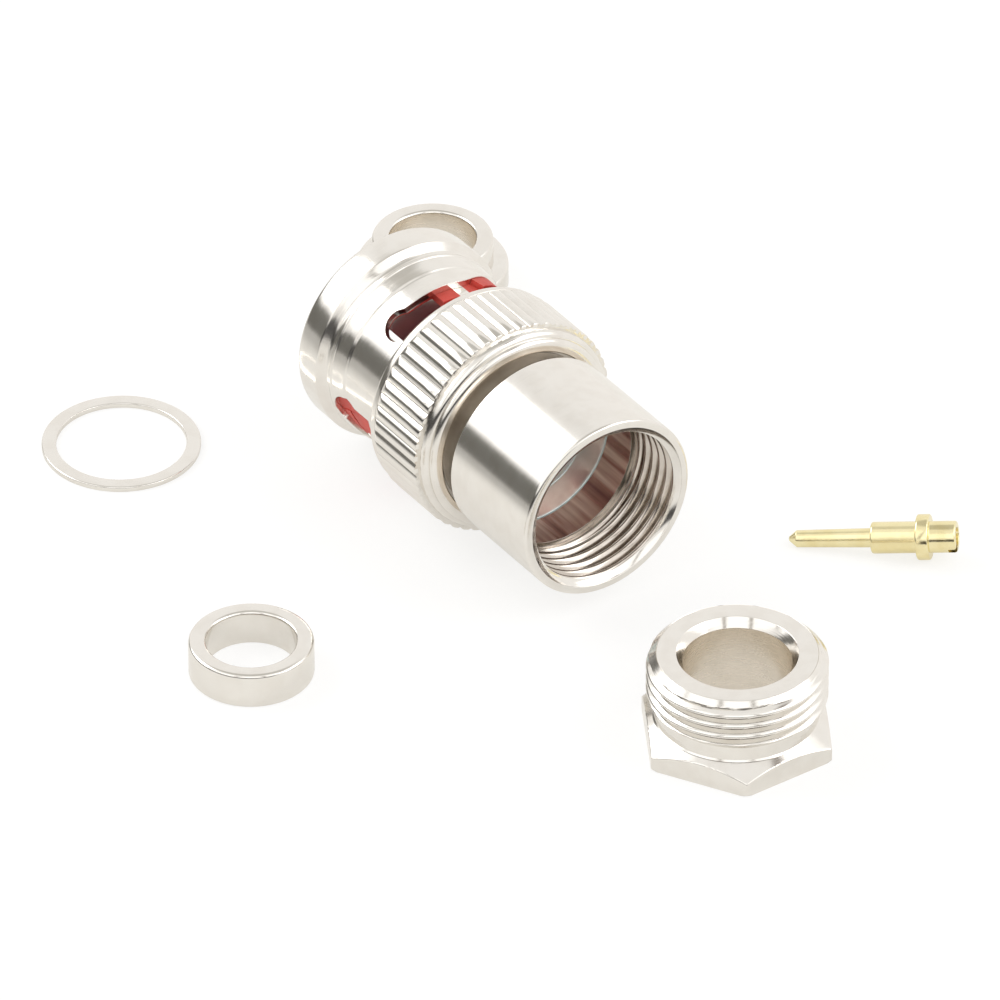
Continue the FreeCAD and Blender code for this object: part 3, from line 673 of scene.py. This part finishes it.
def make_nut_knurl():
    """Knurled ring and the two rounded bands behind it."""
    ridge_end = KNURL_FRONT - 0.75
    run_out = 0.5
    band = KNURL_R - 0.13
    inner_lobe, outer_lobe = 6.06, 6.5
    lobe_top = 6.9
    lobes = [(NUT_BORE_R + 0.08, NUT_REAR + 0.02), (inner_lobe - 0.02, NUT_REAR)]
    for step in range(9):
        turn = math.radians(90 * step / 8)
        lobes.append((inner_lobe + 0.46 * math.sin(turn), NUT_REAR + 0.33 - 0.33 * math.cos(turn)))
    for step in range(11):
        turn = math.radians(90 * step / 10)
        lobes.append((outer_lobe + 0.4 * math.sin(turn), NUT_REAR + 0.88 - 0.5 * math.cos(turn)))
    outline = [(NUT_BORE_R, KNURL_FRONT - SLEEVE_OVERLAP), (NUT_BORE_R, NUT_REAR + 0.1)] + lobes
    outline += [(lobe_top, KNURL_REAR), (KNURL_R - 0.05, KNURL_REAR), (KNURL_R, KNURL_REAR + 0.06)]
    outline += [(KNURL_R, KNURL_REAR + 1.2), (KNURL_R, ridge_end - run_out - 0.8)]
    rows = 10
    outline += [(KNURL_R, ridge_end + run_out * (k / rows - 1)) for k in range(rows + 1)]
    outline += rounded([
        (band, ridge_end + 0.03, 0.05),
        (band, KNURL_FRONT - 0.3, 0.35),
        (KNURL_R - 0.42, KNURL_FRONT, 0.2),
        (SLEEVE_R - 0.05, KNURL_FRONT),
        (SLEEVE_R - 0.05, KNURL_FRONT - SLEEVE_OVERLAP),
    ], 6)

    def shape(radius, height, angle):
        part = (angle / TURN * KNURL_COUNT) % 1.0 - 0.5
        fade = min(max((ridge_end - height) / run_out, 0.0), 1.0)
        top = band + (KNURL_R - band) * fade * (2 - fade)
        limit = KNURL_R - KNURL_DEPTH * (2 * part) ** 2
        if radius > lobe_top + 0.05 and height < ridge_end + 0.01:
            radius = min(radius, top, max(limit, band - 0.04))
        return radius, height

    def in_rear_bore(radius, height, angle):
        return radius < NUT_BORE_R + 0.2 and height < KNURL_REAR

    place = along_y()
    piece = lathe("nut_knurl", outline, place, KNURL_COUNT * KNURL_STEPS, shape)
    even_normals(piece, 60)
    dress(piece, "coupling", "coupling_nut", nickel_y)
    # painted shade in the rear bore, across the gap from the barrel's neck
    repaint(piece, place, gap_painted_shade, in_rear_bore)


def raised_lips(entry):
    """Red lips that fill each slot's entry, its run-out and its ramp nearly to the sleeve's surface."""
    inner = NUT_BORE_R - 0.2
    half = (CHANNEL_WIDTH - LIP_GAP) / 2
    low = (inner, -half, SLOT_ENTRY - CHANNEL_RUNOUT + LIP_GAP / 2)
    high = (LIPS_R, half, SLOT_ENTRY - SLOT_WIDTH / 2)
    lips = []
    for side in SIDES:
        ramp = slot_cutter(SLOT_WIDTH - LIP_GAP, side, last=LIPS_RAISED_TO, inner=inner, outer=LIPS_R)
        hole = hole_cutter(SLOT_HOLE - LIP_GAP, entry, side, inner=inner, outer=LIPS_R)
        for lip in (ramp, hole):
            cut_by(lip, [slot_cutter(LIP_SLIT, side, last=LIPS_RAISED_TO - 5)])
        lips += [ramp, hole, block("run-out lip", low, high, at_entry(side))]
    return lips


def make_liner():
    """Red liner: soft lips with a slit along the ramp, and wider than the nut's slot from there on."""
    outer = NUT_BORE_R - 0.01
    rear = KNURL_FRONT - 0.5
    outline = [(LINER_R, rear), (outer, rear), (outer, BAND_SHOULDER), (LINER_R, BAND_SHOULDER)]
    place = along_y()
    piece = lathe("red_liner", divided(outline, LONGEST_RUN), place, 180)
    line = slot_line()
    cutters = []
    for side in SIDES:
        cutters.append(slot_cutter(LIP_SLIT, side, last=LIPS_TO - 2))
        cutters.append(slot_cutter(LINER_WINDOW, side, first=LIPS_TO))
        cutters.append(hole_cutter(LINER_WINDOW + 0.3, line[-1], side))
    cut_by(piece, cutters)
    add_to(piece, raised_lips(line[0]))
    even_normals(piece, 32)

    def inner_face(radius, height, angle):
        return radius < LINER_R + 0.03

    def key_strip(radius, height, angle):
        return KEY_TO < angle % 180 - 180 < KEY_FROM and radius > NUT_BORE_R - 0.1

    dress(piece, "coupling", "slot_liner", silicone)
    repaint(piece, place, maroon, inner_face)
    repaint(piece, place, nickel_y, key_strip)


def make_clamp_nut():
    """Clamp nut: chamfered hexagon below, a neck, and the outside thread up to its top."""
    height = 6.15
    bore = 3.3
    flats = 10.9 / 2
    corners = flats * 1.155
    head = 1.75
    neck = 5.0
    crest = 5.5
    depth = 0.46
    thread_from = height - 3.4
    chamfer = 0.6
    slope = math.tan(math.radians(33))
    head_rows = 44
    thread_rows = 108
    outline = [(bore, 0.15), (bore + 0.04, 0.04), (bore + 0.15, 0.0), (flats * 0.98, 0.0)]
    outline += [(flats * 1.3, head * row / head_rows) for row in range(head_rows + 1)]
    outline += [(neck + 0.1, head), (neck, head + 0.1), (neck, head + 0.8), (neck, thread_from - 0.05)]
    rise = (height - thread_from) / thread_rows
    outline += [(crest, thread_from + rise * row) for row in range(thread_rows + 1)]
    outline += rounded([
        (crest - chamfer - 0.02, height, 0.03),
        (bore + 0.4, height, 0.05),
        (bore, height - 0.6, 0.08),
        (bore, 3.0),
        (bore, 1.0),
    ])

    def shape(radius, up, angle):
        if radius > flats * 1.25:
            side = angle % math.radians(60) - math.radians(30)
            hexagon = flats / math.cos(side)
            upper_cone = neck + (head - up) / slope
            lower_cone = corners - 0.18 + up * 1.6
            radius = min(hexagon, upper_cone, max(lower_cone, flats))
        elif abs(radius - crest) < SAME:
            limit = crest - max(up - (height - chamfer), 0.0)
            run_in = neck + max(up - thread_from, 0.0) * 0.9
            cut = crest - thread_root(up, angle, depth, thread_from + 0.2, height + 0.6, 0.2)
            radius = min(limit, run_in, cut)
        return radius, up

    def in_bore(radius, up, angle):
        return radius < bore + 0.02

    place = on_floor(CLAMP_NUT_AT, CLAMP_NUT_TURN)
    piece = lathe("clamp_nut_turned", outline, place, 360, shape)
    even_normals(piece, 40)
    dress(piece, "plug", "clamp_nut", nickel_z)
    # painted shade in the bore
    repaint(piece, place, bore_painted_shade, in_bore)


def make_flat_turned(node, at, corners):
    """A turned ring that lies on the floor; its first corner gives its bore."""
    piece = lathe(node + "_turned", rounded(corners), on_floor(at))
    even_normals(piece, 60)
    dress(piece, "plug", node, nickel_z)
    return piece


def make_braid_clamp():
    """Flanged ring; its bore is painted darker and warmer as shade, and is rougher."""
    bore = 2.75
    flange, flange_top = 4.8, 1.6
    collar, top = 3.85, 3.45
    piece = make_flat_turned("braid_clamp", BRAID_AT, [
        (bore, 0.0, 0.08),
        (flange, 0.0, 0.1),
        (flange, flange_top, 0.3),
        (collar, flange_top, 0.05),
        (collar, top, 0.3),
        (bore, top, 0.22),
    ])

    def in_bore(radius, up, angle):
        return radius < bore + 0.02

    # painted shade in the bore
    repaint(piece, on_floor(BRAID_AT), bore_painted_shade, in_bore)


def make_plain_ring(node, at, bore, outer, top, bevels):
    """Ring with a rectangular section; bevels go round it from the foot of its bore."""
    corners = [(bore, 0.0), (outer, 0.0), (outer, top), (bore, top)]
    make_flat_turned(node, at, [(*corner, bevel) for corner, bevel in zip(corners, bevels)])


def make_pin():
    """Gold pin, lying with its tip and its collar on the surface."""
    nose = 0.16
    tip, root = 0.53, 0.6
    barrel = 0.98
    collar = 1.42
    slim, end = 5.15, 10.45
    collar_front, collar_rear = 7.99, 8.81
    cup, cup_floor = 0.6, end - 2.1
    edge = 0.14
    rests_at = 0.9
    outline = [(0.0, 0.0), (0.1, 0.0), (nose, 0.03)]
    outline += rounded([
        (nose, 0.04),
        (tip, 0.48, 0.12),
        (root, slim, 0.04),
        (barrel, slim, edge),
        (barrel, collar_front, 0.05),
        (collar, collar_front, edge),
        (collar, collar_rear, edge),
        (barrel, collar_rear, 0.05),
        (barrel, end, 0.16),
        (cup, end, 0.04),
        (cup, cup_floor),
    ])
    outline.append((0.0, cup_floor))
    tilt = math.atan2(collar - tip, collar_front + edge - rests_at)
    tip_up = tip * math.cos(tilt) - rests_at * math.sin(tilt)
    lean = Matrix.Rotation(math.radians(PIN_HEADING + 180), 4, "Z")
    lean = lean @ Matrix.Rotation(math.pi / 2 - tilt, 4, "Y")
    axis = lean @ Vector((0, 0, 1))
    base = Vector((*PIN_AT, 0)) - axis * (collar_front + collar_rear) / 2
    base.z = FLOOR + tip_up
    place = Matrix.Translation(base) @ lean
    piece = lathe("pin_turned", outline, place, 96, closed=False)
    turn = Matrix.Rotation(math.radians(NOTCH_TURN), 4, "Z")
    low = (0.1, -NOTCH_WIDTH / 2, end - NOTCH_DEPTH)
    cut_by(piece, [block("notch cutter", low, (1.2, NOTCH_WIDTH / 2, end + 0.3), place @ turn)])
    even_normals(piece, 40)
    dress(piece, "plug", "centre_pin", gold)


make_barrel()
make_nut_front()
make_nut_knurl()
make_liner()
make_clamp_nut()
make_braid_clamp()
make_plain_ring("clamp_ring", RING_AT, 2.75, 3.825, 2.3, (0.1, 0.12, 0.26, 0.22))
make_plain_ring("clamp_washer", WASHER_AT, 4.05, 4.95, 0.35, (0.06, 0.06, 0.1, 0.08))
make_pin()

CAD_FINISHES = {
    "outer_contact": silver,
    "insulator": ptfe,
    "front_gasket": silicone,
    "retaining_ring": spring,
    "thrust_washer": spring,
    "spring_washer_rear": spring,
    "spring_washer_front": spring,
}
for node_name, material in CAD_FINISHES.items():
    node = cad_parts[node_name]
    node.data.materials.clear()
    node.data.materials.append(material)


def along(n, vector, towards):
    """How far a vector of the tree reaches in a direction."""
    node = n.add("ShaderNodeVectorMath", operation="DOT_PRODUCT")
    n.link(vector, node.inputs[0])
    node.inputs[1].default_value = towards
    return node.outputs["Value"]


def either(n, factor, first, second):
    """One shader where the factor is 0, and the other where it is 1."""
    node = n.add("ShaderNodeMixShader")
    for number, value in enumerate((factor, first, second)):
        n.link(value, node.inputs[number])
    return node.outputs[0]


def make_floor():
    """White floor; to polished metal it is a little dimmer, with painted shade far to the left and in
    front.
    """
    bpy.ops.mesh.primitive_plane_add(
        size=FLOOR_SIDE * MM, location=(0, FLOOR_CENTRE * MM, (FLOOR - FLOOR_GAP) * MM))
    floor = bpy.context.object
    floor.name = "floor"
    material = new_material("floor")
    n = Nodes(material.node_tree)
    position = n.add("ShaderNodeNewGeometry").outputs["Position"]
    # Painted shade: to metal, the floor's glow fades far to the left and in front.
    leftward = n.smooth(along(n, position, (-0.80, 0.60, 0)), 0.030, 0.062, 0.5, 0.06)
    frontward = n.smooth(along(n, position, (-0.57, -0.82, 0)), 0.040, 0.062, 1.0, 0.15)
    glow_painted_shade = n.math("MULTIPLY", leftward, frontward)

    def surface(diffuse, glow, strength):
        matt = n.feed(n.add("ShaderNodeBsdfDiffuse"), Color=(*diffuse, 1))
        shine = n.feed(n.add("ShaderNodeEmission"), Color=(*glow, 1), Strength=strength)
        both = n.add("ShaderNodeAddShader")
        n.link(matt.outputs[0], both.inputs[0])
        n.link(shine.outputs[0], both.inputs[1])
        return both.outputs[0]

    path = n.add("ShaderNodeLightPath").outputs
    seen = n.math("ADD", path["Is Camera Ray"], path["Is Transmission Ray"], clamp=True)
    plain = n.feed(n.add("ShaderNodeBsdfDiffuse"), Color=(0.85, 0.85, 0.85, 1)).outputs[0]
    to_metal = surface((0.45, 0.44, 0.42), (1, 0.985, 0.945), glow_painted_shade)
    to_camera = surface((0.30, 0.30, 0.30), (1, 0.995, 0.985), 0.75)
    shader = either(n, seen, either(n, path["Is Glossy Ray"], plain, to_metal), to_camera)
    n.link(shader, n.add("ShaderNodeOutputMaterial").inputs[0])
    floor.data.materials.append(material)


def make_world():
    """White to the camera; to polished metal, a light tent with seams, a softbox and dark cards."""
    world = bpy.data.worlds.new("studio")
    bpy.context.scene.world = world
    world.use_nodes = True
    world.node_tree.nodes.clear()
    n = Nodes(world.node_tree)
    direction = n.add("ShaderNodeTexCoord").outputs["Generated"]
    parts = n.add("ShaderNodeSeparateXYZ")
    n.link(direction, parts.inputs[0])
    across, ahead, up = parts.outputs

    def towards(*vector):
        return along(n, direction, Vector(vector).normalized())

    def between(value, low, high, edge):
        rise = n.smooth(value, low - edge, low + edge)
        fall = n.smooth(value, high - edge, high + edge, 1.0, 0.0)
        return n.math("MULTIPLY", rise, fall)

    def product(*factors):
        value = factors[0]
        for factor in factors[1:]:
            value = n.math("MULTIPLY", value, factor)
        return value

    azimuth = n.math("MULTIPLY", n.math("ARCTAN2", ahead, across), TENT_PANELS / TURN)
    turned = n.math("FRACT", n.math("ADD", azimuth, TENT_PHASE))
    from_middle = n.math("ABSOLUTE", n.math("SUBTRACT", turned, 0.5))
    camera_side = n.smooth(towards(*CAMERA_TOWARDS, 0.0), -0.55, -0.35)
    tent = product(n.smooth(up, 0.36, 0.42), camera_side, n.smooth(up, 0.84, 0.93, 1.0, 0.0))
    overhead = n.smooth(towards(0.19, 0.28, 0.94), 0.89, 0.96)
    seam = product(n.smooth(from_middle, 0.425, 0.445), tent)
    front = n.smooth(ahead, 0.2, 0.4)
    softbox = product(between(up, 0.29, 0.72, 0.012), between(across, -0.80, -0.19, 0.02), front)
    frame_edge = product(between(up, 0.60, 0.80, 0.02), between(across, -0.175, -0.125, 0.015), front)
    left_card = product(n.smooth(towards(-0.75, 0.66, 0.0), 0.55, 0.8), between(up, -0.14, 0.255, 0.03))
    near_card = product(n.smooth(towards(-0.8, -0.6, 0.0), 0.35, 0.6), between(up, -0.06, 0.24, 0.03))
    brown_card = n.smooth(towards(0.46, -0.40, 0.79), 0.962, 0.982)

    tone = n.mix(n.smooth(up, -0.1, 0.9), (1.0, 0.975, 0.94), (0.97, 0.955, 0.93))
    for mask, colour in (
        (tent, (1.34, 1.33, 1.31)),
        (overhead, (0.60, 0.58, 0.54)),
        (seam, (0.46, 0.43, 0.39)),
        (softbox, (1.5, 1.5, 1.48)),
        (frame_edge, (0.66, 0.65, 0.63)),
        (left_card, (0.165, 0.16, 0.145)),
        (near_card, (0.06, 0.057, 0.055)),
        (brown_card, (0.16, 0.125, 0.10)),
    ):
        tone = n.mix(mask, tone, colour)

    def light(colour, strength):
        return n.feed(n.add("ShaderNodeBackground"), Color=colour, Strength=strength).outputs[0]

    path = n.add("ShaderNodeLightPath").outputs
    lit = either(n, path["Is Glossy Ray"], light((1, 0.995, 0.985, 1), 0.75), light(tone, 1.0))
    shader = either(n, path["Is Camera Ray"], lit, light((1, 1, 1, 1), 1.0))
    n.link(shader, n.add("ShaderNodeOutputWorld").inputs[0])


def area_light(name, towards, size, power):
    light = bpy.data.lights.new(name, "AREA")
    light.shape = "RECTANGLE"
    light.size, light.size_y = size[0] * MM, size[1] * MM
    light.energy = power
    lamp = bpy.data.objects.new(name, light)
    bpy.context.scene.collection.objects.link(lamp)
    aim = Vector(CAMERA_TARGET) * MM
    way = Vector(towards).normalized()
    lamp.location = aim + way * LAMP_DISTANCE * MM
    lamp.rotation_mode = "QUATERNION"
    lamp.rotation_quaternion = way.to_track_quat("Z", "Y")


def make_camera():
    """The camera stands where the photograph was taken, far off, so that little converges."""
    elevation = math.radians(CAMERA_ELEVATION)
    level = Vector(CAMERA_TOWARDS) * math.cos(elevation)
    way = Vector((*level, math.sin(elevation))).normalized()
    data = bpy.data.cameras.new("camera")
    data.sensor_width = SENSOR
    data.lens = SENSOR * PIXELS_PER_MM * CAMERA_DISTANCE / PICTURE
    data.clip_start = 0.01
    data.clip_end = 20
    camera = bpy.data.objects.new("camera", data)
    bpy.context.scene.collection.objects.link(camera)
    camera.location = (Vector(CAMERA_TARGET) + way * CAMERA_DISTANCE) * MM
    camera.rotation_mode = "QUATERNION"
    camera.rotation_quaternion = way.to_track_quat("Z", "Y")
    bpy.context.scene.camera = camera


make_floor()
make_world()
area_light("key", (-0.42, 0.62, 0.66), (420, 300), 1.0)
area_light("fill", (0.55, -0.55, 0.63), (420, 420), 0.8)
make_camera()
bpy.context.scene.view_settings.view_transform = "Standard"
